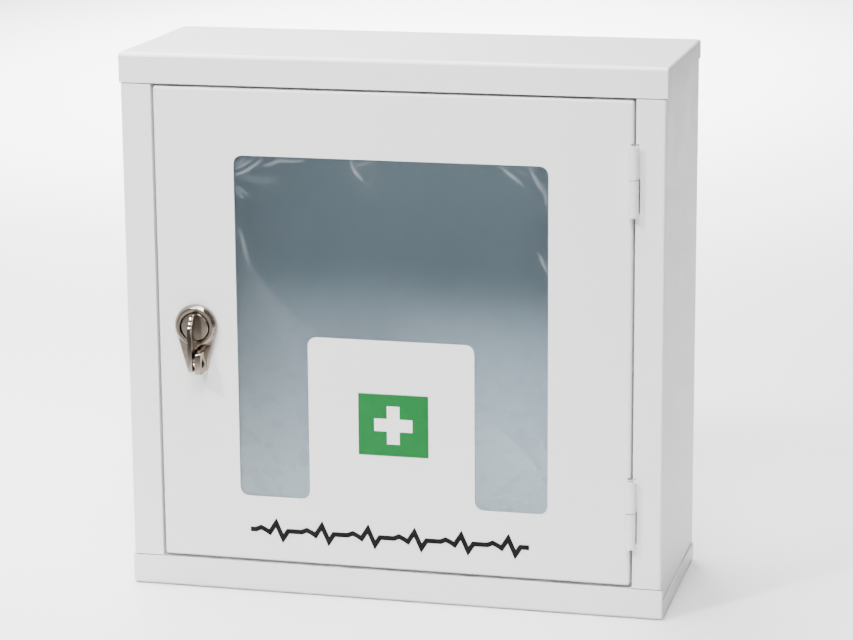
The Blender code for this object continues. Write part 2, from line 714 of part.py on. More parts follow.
def make_rotor(parts, latch):
    """Rotor: a disc in the lock's ring, with the wing on its front and the shaft that carries the cam."""
    centre = (LATCH_X, LATCH_Z)
    disc_back = FRONT - RECESS_FLOOR - GAP
    disc = cylinder("lock_rotor", centre, ROTOR_RADIUS, FRONT - ROTOR_FRONT, disc_back, "Y", ROUND_STEPS)
    rotor = parts.piece("lock_rotor", disc, NICKEL, latch)
    shaft_back = FRONT + SHAFT_END
    shaft = cylinder("rotor_shaft", centre, SHAFT_RADIUS, disc_back - GAP, shaft_back, "Y", ROUND_STEPS)
    half = WING_HALF_THICKNESS
    wing = plate("rotor_wing", [wing_outline()], LATCH_X - half, LATCH_X + half, "X")
    parts.join(rotor, shaft, wing)
    thread_radius = CAM_SCREW_RADIUS + PIN_CLEARANCE
    thread = cylinder(
        "rotor_thread", centre, thread_radius, shaft_back - CAM_SCREW_DEPTH, shaft_back + REACH, "Y"
    )
    parts.cut(rotor, padlock_hole("wing_hole"), thread)


def cam_outline():
    """The cam seen from the front: a bar with a round end on the shaft, pointing left at rest."""
    round_end = arc_points((LATCH_X, LATCH_Z), CAM_HALF_WIDTH, -math.pi / 2, math.pi, ROUND_STEPS // 2)
    return round_end + [latch_point(-CAM_LENGTH, CAM_HALF_WIDTH), latch_point(-CAM_LENGTH, -CAM_HALF_WIDTH)]


def make_cam(parts, latch):
    """The cam that catches behind the stop frame, with the washer and screw that hold it on the shaft."""
    centre = (LATCH_X, LATCH_Z)
    hole = circle(centre, CAM_SCREW_RADIUS + PIN_CLEARANCE, SMALL_STEPS)
    cam_front = FRONT + CAM_FRONT
    cam_back = cam_front + CAM_THICKNESS
    parts.piece("lock_cam", plate("lock_cam", [cam_outline(), hole], cam_front, cam_back), ZINC, latch)
    washer_front = cam_back + GAP
    washer_back = washer_front + WASHER_THICKNESS
    washer_edge = circle(centre, CAM_WASHER_RADIUS, SMALL_STEPS)
    washer = plate("cam_washer", [washer_edge, hole], washer_front, washer_back)
    parts.piece("cam_washer", washer, ZINC, latch)
    head_front = washer_back + GAP
    head_back = head_front + CAM_SCREW_HEAD_THICKNESS
    head = plate("cam_screw", [hexagon(centre, CAM_SCREW_HEAD_RADIUS)], head_front, head_back)
    screw = parts.piece("cam_screw", head, ZINC, latch)
    tip = FRONT + SHAFT_END - CAM_SCREW_DEPTH + GAP
    parts.join(screw, cylinder("cam_screw_shank", centre, CAM_SCREW_RADIUS, tip, head_front + GAP, "Y"))


def main():
    clear_scene()
    parts = Assembly()
    cabinet = parts.body("cabinet", (0, 0, 0))
    door = parts.body("door", (HINGE_X, HINGE_Y, 0))
    latch = parts.body("latch", (LATCH_X, FRONT, LATCH_Z))
    make_cap(parts, "top_panel", cabinet, is_top=True)
    make_cap(parts, "bottom_panel", cabinet, is_top=False)
    make_side(parts, "left_side_panel", cabinet, -1)
    right_side = make_side(parts, "right_side_panel", cabinet, 1)
    make_back(parts, cabinet)
    stop_frame = make_stop_frame(parts, cabinet)
    make_buffers(parts, cabinet)
    door_panel = make_door_panel(parts, door)
    for place, centre in HINGE_CENTRES.items():
        make_hinge(parts, place, centre, cabinet, door)
        slot, notch = hinge_clearances(centre)
        parts.cut(right_side, slot, notch)
        parts.cut(stop_frame, slot)
        parts.cut(door_panel, notch)
    make_glazing(parts, door)
    make_labels(parts, door)
    make_lock_body(parts, door)
    make_lock_fixings(parts, door)
    make_rotor(parts, latch)
    make_cam(parts, latch)


main()
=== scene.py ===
"""Looks of the defibrillator wall cabinet: materials, creased film, lock, printed labels, studio and camera.

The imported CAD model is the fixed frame. Sizes are in metres in its frame: +X to the right of the door,
+Y towards the wall, +Z up, with the origin under the middle of the cabinet. A depth is measured from the
door's front face, and is positive towards the viewer.
"""

import json
import math

import bmesh
import bpy
import numpy as np
from mathutils import Matrix, Vector

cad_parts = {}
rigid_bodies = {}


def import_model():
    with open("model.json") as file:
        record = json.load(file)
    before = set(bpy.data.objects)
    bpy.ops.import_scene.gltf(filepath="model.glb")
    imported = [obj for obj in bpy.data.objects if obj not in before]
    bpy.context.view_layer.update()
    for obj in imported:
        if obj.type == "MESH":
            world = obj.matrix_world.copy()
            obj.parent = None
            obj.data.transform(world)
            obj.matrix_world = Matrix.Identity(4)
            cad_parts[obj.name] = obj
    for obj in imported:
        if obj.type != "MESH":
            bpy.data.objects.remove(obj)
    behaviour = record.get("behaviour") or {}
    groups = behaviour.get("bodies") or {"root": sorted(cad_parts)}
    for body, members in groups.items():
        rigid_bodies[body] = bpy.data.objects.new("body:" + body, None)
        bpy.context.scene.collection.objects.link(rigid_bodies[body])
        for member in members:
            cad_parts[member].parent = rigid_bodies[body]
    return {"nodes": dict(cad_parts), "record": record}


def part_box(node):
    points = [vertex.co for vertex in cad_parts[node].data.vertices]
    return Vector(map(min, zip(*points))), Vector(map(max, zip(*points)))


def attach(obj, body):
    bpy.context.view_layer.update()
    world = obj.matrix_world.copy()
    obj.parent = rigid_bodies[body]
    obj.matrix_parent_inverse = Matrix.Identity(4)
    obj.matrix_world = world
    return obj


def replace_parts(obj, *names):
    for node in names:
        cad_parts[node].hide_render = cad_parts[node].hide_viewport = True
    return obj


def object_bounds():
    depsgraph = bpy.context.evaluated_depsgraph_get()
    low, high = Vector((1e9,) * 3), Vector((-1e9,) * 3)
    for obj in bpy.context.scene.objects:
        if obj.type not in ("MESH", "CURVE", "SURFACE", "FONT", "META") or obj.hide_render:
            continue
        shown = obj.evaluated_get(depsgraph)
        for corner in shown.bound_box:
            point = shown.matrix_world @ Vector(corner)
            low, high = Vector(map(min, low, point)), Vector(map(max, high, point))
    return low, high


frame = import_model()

CAD_LOW, CAD_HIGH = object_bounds()
CENTRE = (CAD_LOW + CAD_HIGH) / 2
NODES = frame["nodes"]
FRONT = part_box("door_panel")[0].y
MM = 0.001

# Camera, found from the corners of the cabinet
CAMERA_AZIMUTH = math.radians(13.98)
CAMERA_ELEVATION = math.radians(13.29)
CAMERA_ROLL = math.radians(-0.41)
CAMERA_DISTANCE = 1.9538
CAMERA_LENS = 121.4
CAMERA_TARGET = Vector((0.0261, FRONT, 0.2029))

# Studio: an ellipse of white paper on the floor, which fades over a share of the way in from its rim
WORLD_STRENGTH = 0.24
LAMP_DISTANCE = 2.4
NARROW_BEAM = 60
FLOOR_HALF = 12.0
FLOOR_PANELS = 8
FLOOR_GAP = 0.3 * MM
PAPER_CENTRE = (-0.5, 2.2, 0.0)
PAPER_REACH = (1.3, 3.4, 3.4)
PAPER_FADE = (0.05, 0.23)
PAPER_GRAIN = 0.01

# Colours, as linear red, green and blue
PAINT_WHITE = (0.80, 0.80, 0.79)
# The hinge white is the body's white paint made darker and bluer: painted shade on the hinge knuckles
HINGE_WHITE_PAINTED_SHADE = (0.74, 0.75, 0.77)
BRIGHT_ZINC = (0.62, 0.62, 0.60)
WARM_NICKEL = (0.27, 0.228, 0.19)
DARK_RUBBER = (0.12, 0.12, 0.12)
SIGN_GREEN = (0.003, 0.114, 0.023)
PRINT_BLACK = (0.004, 0.0035, 0.003)
SHEET_GLINT = (0.82, 0.93, 1.0)
THROUGH_PANE = (0.93, 0.95, 0.96)
THROUGH_FILM = (0.61, 0.68, 0.73)
PAPER_WHITE = (0.93, 0.93, 0.93)

# Where a tint starts and ends in a noise's range
RAMP_ENDS = (0.3, 0.7)

# Soft edges of the CAD nodes
WELD = 1e-6
SHEET_EDGE = 0.25 * MM
DOOR_EDGE = 0.30 * MM
HINGE_EDGE = 0.40 * MM
METAL_EDGE = 0.25 * MM
LABEL_EDGE = 0.04 * MM
BEVEL_ANGLE = math.radians(40)
SMOOTH_ANGLE = math.radians(32)

# Protective film
FILM_STEP = 1.2 * MM
FILM_OVERLAP = 3.0 * MM
FILM_MASK = 1.5 * MM
FILM_LIFT = 0.8 * MM
TAB_LEFT, TAB_RIGHT, TAB_TOP = -0.0583, 0.0593, 0.1866
CURVE_STEPS = 10
CREASE_ENDS = (0.06, 0.94)
FOLD_ENDS = (0.12, 0.88)
FILM_SHINE = 0.4
FILM_VEIL = 0.25
FILM_MIRROR, PANE_MIRROR = 0.02, 0.04
GLANCE_POWER, GLANCE_SHARE = 5.0, 0.96
# A milkier veil low on the film, fading out upwards: painted reflection that stands in for the bright floor
# mirrored in the lower window
LOW_PAINTED_SHEEN, PAINTED_SHEEN_TOP, PAINTED_SHEEN_BOTTOM = 0.7, 0.23, 0.08

# Creases of the film: the start, bend and end of each curve (X, Z), half its width, and how milky it is
CREASES = (
    ((-0.108, 0.298), (-0.098, 0.301), (-0.088, 0.310), 1.0 * MM, 0.9),
    ((-0.108, 0.302), (-0.103, 0.304), (-0.096, 0.309), 0.8 * MM, 0.8),
    ((-0.107, 0.305), (-0.104, 0.306), (-0.101, 0.310), 0.8 * MM, 0.7),
    ((-0.087, 0.305), (-0.079, 0.307), (-0.073, 0.311), 1.0 * MM, 0.7),
    ((-0.077, 0.309), (-0.068, 0.308), (-0.059, 0.310), 0.9 * MM, 0.7),
    ((-0.108, 0.291), (-0.104, 0.287), (-0.098, 0.284), 1.0 * MM, 0.5),
    ((-0.108, 0.287), (-0.105, 0.284), (-0.102, 0.281), 0.8 * MM, 0.5),
    ((-0.108, 0.297), (-0.092, 0.294), (-0.078, 0.296), 2.5 * MM, 0.2),
    ((-0.106, 0.260), (-0.103, 0.249), (-0.0995, 0.236), 1.6 * MM, 0.5),
    ((-0.026, 0.311), (-0.0245, 0.302), (-0.018, 0.298), 1.1 * MM, 1.0),
    ((-0.023, 0.306), (-0.018, 0.309), (-0.011, 0.310), 0.9 * MM, 0.7),
    ((-0.009, 0.307), (-0.011, 0.296), (-0.018, 0.289), 1.6 * MM, 0.2),
    ((0.076, 0.311), (0.085, 0.305), (0.093, 0.298), 1.0 * MM, 0.8),
    ((0.088, 0.311), (0.091, 0.308), (0.095, 0.304), 0.8 * MM, 0.4),
    ((0.097, 0.311), (0.101, 0.301), (0.109, 0.292), 1.0 * MM, 0.9),
    ((0.106, 0.299), (0.108, 0.292), (0.109, 0.284), 1.2 * MM, 0.5),
    ((0.103, 0.253), (0.107, 0.246), (0.110, 0.238), 1.0 * MM, 0.8),
    ((0.103, 0.128), (0.107, 0.118), (0.109, 0.104), 1.6 * MM, 0.4),
)

# Long soft folds of the film: milky on one side of the curve, and fading over the width
FOLDS = (
    ((-0.107, 0.263), (-0.091, 0.203), (-0.047, 0.190), 20.0 * MM, 0.17),
    ((0.060, 0.137), (0.096, 0.120), (0.108, 0.090), 14.0 * MM, 0.30),
)

# Green label
CROSS_SHARE = 0.62
CROSS_ARM_SHARE = 1 / 3
CROSS_GAP = 0.02 * MM

# Lock, measured from the turning axis
WASHER_LOW, WASHER_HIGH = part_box("lock_washer")
AXIS_X = (WASHER_LOW.x + WASHER_HIGH.x) / 2
AXIS_Z = (WASHER_LOW.z + WASHER_HIGH.z) / 2
FLANGE_RADIUS = (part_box("lock_body")[1].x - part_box("lock_body")[0].x) / 2
ROUND_STEPS = 96
FINE_STEPS = 8
CORNER_STEPS = 5
FLANGE_BACK, FLANGE_FRONT = 0.25 * MM, 2.6 * MM
FLANGE_EDGE = 0.7 * MM
BOSS_SHOULDER, BOSS_FRONT = 3.2 * MM, 6.0 * MM
BOSS_TOP_RADIUS = 13.2 * MM
BOSS_ROUNDING = 0.45 * MM
RECESS_RADIUS, RECESS_DEPTH = 10.7 * MM, 2.5 * MM
BARREL_RADIUS, BARREL_BACK = 9.0 * MM, -17.0 * MM
BORE_RADIUS = 6.3 * MM
THREAD_DEPTH, THREAD_PITCH = 0.4 * MM, 1.0 * MM
TAIL_DROP, TAIL_WIDTH, TAIL_RADIUS = 32.4 * MM, 13.9 * MM, 2.5 * MM
LUG_X = (3.0 * MM, 7.4 * MM)
LUG_Z = (-31.5 * MM, -16.1 * MM)
LUG_FRONT, LUG_RADIUS, LUG_EDGE = 17.0 * MM, 2.4 * MM, 0.35 * MM
HOLE_RADIUS, HOLE_Z, HOLE_DEPTH, HOLE_FLARE = 3.25 * MM, -24.3 * MM, 11.2 * MM, 0.5 * MM
DISC_RADIUS, DISC_FRONT, DISC_BACK, DISC_CHAMFER = 10.25 * MM, 5.8 * MM, 2.8 * MM, 0.9 * MM
SHAFT_RADIUS, SHAFT_BACK = 6.0 * MM, -17.3 * MM
SCREW_BORE_RADIUS, SCREW_BORE_END = 2.8 * MM, -7.3 * MM
WING_HALF, WING_EDGE, WING_FRONT = 1.65 * MM, 0.45 * MM, 18.0 * MM
WING_TOP, WING_SHOULDER, WING_BOTTOM = 9.8 * MM, 1.0 * MM, -29.6 * MM
WING_BACK, WING_ROOT, WING_LIP = 6.3 * MM, 5.4 * MM, 11.5 * MM
WING_CORNER = 2.0 * MM
GRIP_RIDGES, GRIP_HEIGHT = 3, 0.2 * MM

# Studs that clamp the glazing strips
STUD_THREAD_DEPTH, STUD_PITCH = 0.25 * MM, 0.7 * MM
STUD_STEPS = 32


# ---------------------------------------------------------------- material helpers

class Recipe:
    """One procedural material: a Principled shader, and nodes that read the object's own coordinates."""

    def __init__(self, name, colour, roughness, **inputs):
        self.material = bpy.data.materials.new(name)
        self.material.use_nodes = True
        self.tree = self.material.node_tree
        self.shader = self.tree.nodes["Principled BSDF"]
        self.output = self.tree.nodes["Material Output"]
        self.place = self.node("ShaderNodeTexCoord").outputs["Object"]
        self.set(self.shader, Base_Color=(*colour, 1.0), Roughness=roughness, **inputs)
        self.colour = colour

    def node(self, kind, **settings):
        made = self.tree.nodes.new(kind)
        for name, value in settings.items():
            setattr(made, name, value)
        return made

    def set(self, node, **inputs):
        for name, value in inputs.items():
            node.inputs[name.replace("_", " ")].default_value = value

    def link(self, source, target):
        self.tree.links.new(source, target)

    def stretched(self, scale):
        mapping = self.node("ShaderNodeMapping")
        mapping.inputs["Scale"].default_value = scale
        self.link(self.place, mapping.inputs["Vector"])
        return mapping.outputs["Vector"]

    def noise(self, scale, detail=3.0, place=None):
        texture = self.node("ShaderNodeTexNoise")
        self.set(texture, Scale=scale, Detail=detail)
        self.link(place or self.place, texture.inputs["Vector"])
        return texture.outputs["Fac"]

    def spread(self, source, low, high, start=0.35, end=0.65):
        """Maps a noise's middle range to low..high."""
        mapped = self.node("ShaderNodeMapRange")
        values = (start, end, low, high)
        for name, value in zip(("From Min", "From Max", "To Min", "To Max"), values):
            mapped.inputs[name].default_value = value
        self.link(source, mapped.inputs["Value"])
        return mapped.outputs["Result"]

    def maths(self, operation, first, second):
        """A Math node on two values, each a socket or a number, with its result held to 0..1."""
        sums = self.node("ShaderNodeMath", operation=operation, use_clamp=True)
        for place, value in zip(sums.inputs, (first, second)):
            if isinstance(value, (int, float)):
                place.default_value = value
            else:
                self.link(value, place)
        return sums.outputs["Value"]

    def tint(self, source, dark, light):
        """Varies the base colour between two multiples of it."""
        ramp = self.node("ShaderNodeValToRGB")
        ends = ramp.color_ramp.elements
        ends[0].position, ends[1].position = RAMP_ENDS
        ends[0].color = (*[min(1.0, c * dark) for c in self.colour], 1.0)
        ends[1].color = (*[min(1.0, c * light) for c in self.colour], 1.0)
        self.link(source, ramp.inputs["Fac"])
        self.link(ramp.outputs["Color"], self.shader.inputs["Base Color"])

    def rough(self, source, low, high):
        self.link(self.spread(source, low, high), self.shader.inputs["Roughness"])

    def bump(self, source, height, strength=1.0, after=None):
        relief = self.node("ShaderNodeBump")
        self.set(relief, Strength=strength, Distance=height)
        self.link(source, relief.inputs["Height"])
        if after:
            self.link(after, relief.inputs["Normal"])
        self.link(relief.outputs["Normal"], self.shader.inputs["Normal"])
        return relief.outputs["Normal"]


def powder_coat(name, colour, gloss, coat=0.1):
    """Baked white powder: a fine orange peel, with a faint drift in colour and gloss."""
    recipe = Recipe(name, colour, gloss, Coat_Weight=coat, Coat_Roughness=0.15)
    recipe.tint(recipe.noise(9.0, detail=2.0), dark=0.985, light=1.01)
    recipe.rough(recipe.noise(60.0), low=gloss - 0.04, high=gloss + 0.05)
    peel = recipe.bump(recipe.noise(420.0, detail=2.0), height=0.05 * MM, strength=0.35)
    recipe.bump(recipe.noise(1600.0, detail=2.0), height=0.01 * MM, strength=0.4, after=peel)
    return recipe.material


def zinc_plate():
    """Bright zinc: drawn lines along the metal and cloudy patches."""
    recipe = Recipe("zinc_plate", BRIGHT_ZINC, 0.34, Metallic=1.0)
    recipe.tint(recipe.noise(220.0), dark=0.94, light=1.05)
    recipe.rough(recipe.noise(120.0), low=0.30, high=0.40)
    drawing = recipe.noise(1.0, detail=2.0, place=recipe.stretched((300.0, 300.0, 2600.0)))
    recipe.bump(drawing, height=0.02 * MM, strength=0.4)
    return recipe.material


def nickel_plate():
    """Nickel over a die casting: warm and dark, with upright brushing, slight waves and duller patches."""
    recipe = Recipe("nickel_plate", WARM_NICKEL, 0.16, Metallic=1.0)
    recipe.tint(recipe.noise(160.0), dark=0.93, light=1.07)
    recipe.rough(recipe.noise(240.0), low=0.11, high=0.20)
    waves = recipe.bump(recipe.noise(110.0, detail=1.0), height=0.05 * MM, strength=0.35)
    brushing = recipe.noise(1.0, detail=2.0, place=recipe.stretched((2200.0, 2200.0, 120.0)))
    recipe.bump(brushing, height=0.02 * MM, strength=0.35, after=waves)
    return recipe.material


def rubber():
    recipe = Recipe("buffer_rubber", DARK_RUBBER, 0.8)
    recipe.tint(recipe.noise(300.0), dark=0.8, light=1.3)
    recipe.rough(recipe.noise(500.0), low=0.7, high=0.9)
    recipe.bump(recipe.noise(2500.0), height=0.03 * MM, strength=0.6)
    return recipe.material


def vinyl(name, colour, gloss=0.45, shine=0.3):
    """Printed self-adhesive vinyl: an even colour with a faint grain and an uneven gloss."""
    recipe = Recipe(name, colour, gloss, Specular_IOR_Level=shine)
    recipe.tint(recipe.noise(900.0), dark=0.93, light=1.06)
    recipe.rough(recipe.noise(150.0), low=gloss - 0.06, high=gloss + 0.08)
    recipe.bump(recipe.noise(2000.0), height=0.008 * MM, strength=0.5)
    return recipe.material


def clear_sheet(name, through, gloss, veil=None):
    """A see-through sheet that tints the light, and reflects more at a slant and under its veil: on the
    film, hazy creases and a painted sheen low down.
    """
    recipe = Recipe(name, SHEET_GLINT, gloss, Metallic=FILM_SHINE if veil else 1.0)
    recipe.rough(recipe.noise(90.0), low=gloss, high=gloss + 0.08)
    recipe.bump(recipe.noise(45.0, detail=1.0), height=0.04 * MM, strength=0.05)
    clear = recipe.node("ShaderNodeBsdfTransparent")
    clear.inputs["Color"].default_value = (*through, 1.0)
    slant = recipe.node("ShaderNodeLayerWeight")
    slant.inputs["Blend"].default_value = 0.5
    glance = recipe.maths("POWER", slant.outputs["Facing"], GLANCE_POWER)
    mirrored = recipe.maths("MULTIPLY", glance, GLANCE_SHARE)
    share = recipe.maths("ADD", mirrored, FILM_MIRROR if veil else PANE_MIRROR)
    if veil:
        share = recipe.maths("ADD", share, veil(recipe))
    mix = recipe.node("ShaderNodeMixShader")
    recipe.link(share, mix.inputs["Fac"])
    recipe.link(clear.outputs["BSDF"], mix.inputs[1])
    recipe.link(recipe.shader.outputs["BSDF"], mix.inputs[2])
    recipe.link(mix.outputs["Shader"], recipe.output.inputs["Surface"])
    return recipe.material


def film_haze_and_sheen(recipe):
    """The film's veil, read from the mesh: hazier along its creases, and a painted sheen low down that
    stands in for the floor's reflection.
    """
    marks = recipe.node("ShaderNodeAttribute", attribute_name="haze_and_sheen")
    return recipe.spread(marks.outputs["Fac"], 0.0, FILM_VEIL, 0.0, 1.0)


def studio_floor():
    """A pale floor: white under and behind the cabinet, and greyer further out all round."""
    recipe = Recipe("studio_floor", PAPER_WHITE, 0.9)
    mapping = recipe.node("ShaderNodeMapping", vector_type="TEXTURE")
    mapping.inputs["Location"].default_value = PAPER_CENTRE
    mapping.inputs["Rotation"].default_value = (0.0, 0.0, CAMERA_AZIMUTH)
    mapping.inputs["Scale"].default_value = PAPER_REACH
    recipe.link(recipe.place, mapping.inputs["Vector"])
    nearness = recipe.node("ShaderNodeTexGradient", gradient_type="SPHERICAL")
    recipe.link(mapping.outputs["Vector"], nearness.inputs["Vector"])
    grain = recipe.spread(recipe.noise(1.5), -PAPER_GRAIN, PAPER_GRAIN)
    faded = recipe.maths("ADD", recipe.spread(nearness.outputs["Fac"], 0.0, 1.0, *PAPER_FADE), grain)
    recipe.tint(faded, dark=0.42, light=1.0)
    return recipe.material


# ---------------------------------------------------------------- mesh helpers

def arc_points(centre, radius, start, turn, steps):
    angles = [start + turn * step / steps for step in range(steps + 1)]
    return [(centre[0] + radius * math.cos(a), centre[1] + radius * math.sin(a)) for a in angles]


def rounded(corners, radii, steps=CORNER_STEPS):
    """A closed outline through the corners, with an arc in place of each that has a radius."""
    outline = []
    for index, (corner, radius) in enumerate(zip(corners, radii)):
        point = Vector(corner)
        if not radius:
            outline.append(corner)
            continue
        before = (Vector(corners[index - 1]) - point).normalized()
        after = (Vector(corners[(index + 1) % len(corners)]) - point).normalized()
        half_angle = before.angle(after) / 2
        centre = point + (before + after).normalized() * radius / math.sin(half_angle)
        tangent = radius / math.tan(half_angle)
        first = point + before * tangent - centre
        last = point + after * tangent - centre
        start = math.atan2(first.y, first.x)
        turn = math.remainder(math.atan2(last.y, last.x) - start, math.tau)
        outline += arc_points(centre, radius, start, turn, steps)
    return outline


def finished_mesh(name, shape):
    """A mesh from a bmesh: faces outwards, round parts smooth and corners sharp."""
    bmesh.ops.remove_doubles(shape, verts=shape.verts, dist=WELD)
    shape.normal_update()
    bmesh.ops.recalc_face_normals(shape, faces=shape.faces[:])
    mesh = bpy.data.meshes.new(name)
    shape.to_mesh(mesh)
    shape.free()
    mesh.shade_smooth()
    mesh.set_sharp_from_angle(angle=SMOOTH_ANGLE)
    return mesh


def plate(name, outlines, low, high, edge=0.0, along="Y"):
    """Filled outlines, extruded along an axis from low to high, with round edges.

    The outlines are (X, Z) points for an extrusion along Y, and (Y, Z) points for one along X.
    """
    curve = bpy.data.curves.new(name, "CURVE")
    curve.dimensions = "2D"
    curve.fill_mode = "BOTH"
    curve.extrude = (high - low) / 2 - edge
    curve.bevel_depth = edge
    curve.bevel_resolution = 2
    curve.offset = -edge
    for outline in outlines:
        spline = curve.splines.new("POLY")
        spline.points.add(len(outline) - 1)
        spline.use_cyclic_u = True
        for point, (across, up) in zip(spline.points, outline):
            point.co = (across, up, 0.0, 1.0)
    guide = bpy.data.objects.new(name, curve)
    bpy.context.scene.collection.objects.link(guide)
    filled = bpy.data.meshes.new_from_object(guide.evaluated_get(bpy.context.evaluated_depsgraph_get()))
    bpy.data.objects.remove(guide)
    shape = bmesh.new()
    shape.from_mesh(filled)
    middle = (low + high) / 2
    for vert in shape.verts:
        first, second, thick = vert.co.x, vert.co.y, vert.co.z + middle
        vert.co = (first, thick, second) if along == "Y" else (thick, first, second)
    return finished_mesh(name, shape)


def turned(name, profile, centre, along="Y", closed=True, steps=ROUND_STEPS):
    """A turned shape: a profile of (radius, place on the axis), spun round an axis through the centre."""
    axis = Vector((0, 1, 0)) if along == "Y" else Vector((1, 0, 0))
    centre = Vector(centre)
    shape = bmesh.new()
    verts = [shape.verts.new(centre + axis * place + Vector((0, 0, radius))) for radius, place in profile]
    pairs = list(zip(verts, verts[1:])) + ([(verts[-1], verts[0])] if closed else [])
    edges = [shape.edges.new(pair) for pair in pairs]
    bmesh.ops.spin(
        shape, geom=verts + edges, cent=centre, axis=axis, angle=math.tau, steps=steps, use_merge=True
    )
    return finished_mesh(name, shape)


def combined(name, mesh, *changes):
    """The mesh after a row of (operation, other mesh) Booleans."""
    scene = bpy.context.scene.collection.objects
    base = bpy.data.objects.new(name, mesh)
    scene.link(base)
    others = []
    for operation, other_mesh in changes:
        other = bpy.data.objects.new(other_mesh.name, other_mesh)
        scene.link(other)
        others.append(other)
        step = base.modifiers.new(other_mesh.name, "BOOLEAN")
        step.operation = operation
        step.object = other
    graph = bpy.context.evaluated_depsgraph_get()
    result = bpy.data.meshes.new_from_object(base.evaluated_get(graph))
    for item in [base, *others]:
        bpy.data.objects.remove(item)
    shape = bmesh.new()
    shape.from_mesh(result)
    return finished_mesh(name, shape)


def new_piece(name, mesh, material, body):
    piece = bpy.data.objects.new(name, mesh)
    bpy.context.scene.collection.objects.link(piece)
    mesh.materials.clear()
    mesh.materials.append(material)
    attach(piece, body)
    return piece


def soften(piece, width, segments=2):
    """Rounds every hard edge a little, and lets the broad faces keep their flat shading."""
    weld = piece.modifiers.new("weld", "WELD")
    weld.merge_threshold = WELD
    edge = piece.modifiers.new("edge", "BEVEL")
    edge.width = width
    edge.segments = segments
    edge.limit_method = "ANGLE"
    edge.angle_limit = BEVEL_ANGLE
    shading = piece.modifiers.new("shading", "WEIGHTED_NORMAL")
    shading.weight = 100
    shading.keep_sharp = False


def dress(names, material, width):
    """Gives CAD nodes their finished material and soft edges."""
    for name in names:
        node = NODES[name]
        node.material_slots[0].material = material
        soften(node, width)


def nodes_in_slot(slot):
    return [part["node"] for part in frame["record"]["subparts"] if part["material_slot"] == slot]


# ---------------------------------------------------------------- stage

def aim(item, towards_viewer, roll=0.0):
    """Turns a camera or light so that it looks back along a direction."""
    look = (-towards_viewer).to_track_quat("-Z", "Y")
    item.rotation_mode = "QUATERNION"
    item.rotation_quaternion = look @ Matrix.Rotation(roll, 4, "Z").to_quaternion()


def direction(azimuth, elevation):
    """Unit vector from the object towards a viewer at an azimuth to the right and an elevation."""
    level = math.cos(elevation)
    return Vector((math.sin(azimuth) * level, -math.cos(azimuth) * level, math.sin(elevation)))


def around(azimuth, elevation):
    """The place of a light that stands round the cabinet, from its angles in degrees."""
    return CENTRE + direction(math.radians(azimuth), math.radians(elevation)) * LAMP_DISTANCE


# Lights, each as its name, place, target, width and height, watts, and beam in degrees
LIGHTS = (
    ("key", around(7, 47.2), CENTRE, (0.7, 0.8), 8.4, NARROW_BEAM),
    ("side_key", around(-34, 42), CENTRE, (0.3, 0.3), 6.3, NARROW_BEAM),
    ("fill", around(math.degrees(CAMERA_AZIMUTH), 12), CENTRE, (0.8, 0.3), 1.2, NARROW_BEAM),
    ("overhead", (-0.15, -0.1, 2.1), (-0.1, -0.05, 0.0), (1.3, 0.8), 68, 180),
    ("backdrop", (-0.65, 2.4, 1.9), (-0.65, 2.5, 0.0), (1.2, 2.4), 150, 90),
    ("rear", around(-155, 38), CENTRE, (0.8, 0.8), 6, NARROW_BEAM),
    ("left_floor", (-0.8, 0.1, 1.2), (-0.7, 0.1, 0.0), (0.5, 0.8), 6, 70),
)


def make_camera():
    camera = bpy.data.objects.new("camera", bpy.data.cameras.new("camera"))
    camera.data.lens = CAMERA_LENS
    back = direction(CAMERA_AZIMUTH, CAMERA_ELEVATION)
    camera.location = CAMERA_TARGET + back * CAMERA_DISTANCE
    aim(camera, back, CAMERA_ROLL)
    bpy.context.scene.collection.objects.link(camera)
    bpy.context.scene.camera = camera


def softbox(name, location, target, size, watts, beam):
    """A large area light, with a grid that narrows its beam to an angle in degrees."""
    data = bpy.data.lights.new(name, "AREA")
    data.shape = "RECTANGLE"
    data.size, data.size_y = size
    data.energy = watts
    data.spread = math.radians(beam)
    lamp = bpy.data.objects.new(name, data)
    lamp.location = location
    aim(lamp, (Vector(location) - Vector(target)).normalized())
    bpy.context.scene.collection.objects.link(lamp)


def make_floor():
    shape = bmesh.new()
    bmesh.ops.create_grid(shape, x_segments=FLOOR_PANELS, y_segments=FLOOR_PANELS, size=FLOOR_HALF)
    mesh = bpy.data.meshes.new("studio_floor")
    shape.to_mesh(mesh)
    shape.free()
    mesh.materials.append(studio_floor())
    floor = bpy.data.objects.new("studio_floor", mesh)
    floor.location.z = CAD_LOW.z - FLOOR_GAP
    bpy.context.scene.collection.objects.link(floor)


def make_stage():
    make_floor()
    world = bpy.data.worlds.new("studio")
    world.use_nodes = True
    background = world.node_tree.nodes["Background"]
    background.inputs["Color"].default_value = (1.0, 1.0, 1.0, 1.0)
    background.inputs["Strength"].default_value = WORLD_STRENGTH
    bpy.context.scene.world = world
    for light in LIGHTS:
        softbox(*light)


# ---------------------------------------------------------------- protective film

def curve_points(start, bend, end):
    """Points of the quadratic curve from start to end that leans towards the bend."""
    share = np.linspace(0.0, 1.0, CURVE_STEPS + 1)[:, None]
    start, bend, end = (np.array(point) for point in (start, bend, end))
    return start * (1 - share) ** 2 + bend * 2 * share * (1 - share) + end * share**2


def nearest_on(curve, places):
    """For each place: the distance to a curve, the share of the way along it, and the side, +1 or -1."""
    distance = np.full(len(places), np.inf)
    along = np.zeros(len(places))
    side = np.ones(len(places))
    for index, (first, last) in enumerate(zip(curve, curve[1:])):
        run = last - first
        away = places - first
        share = np.clip(away @ run / (run @ run), 0.0, 1.0)
        gap = np.linalg.norm(away - share[:, None] * run, axis=1)
        nearer = gap < distance
        distance[nearer] = gap[nearer]
        along[nearer] = (index + share[nearer]) / (len(curve) - 1)
        side[nearer] = np.sign(run[0] * away[nearer, 1] - run[1] * away[nearer, 0])
    return distance, along, side


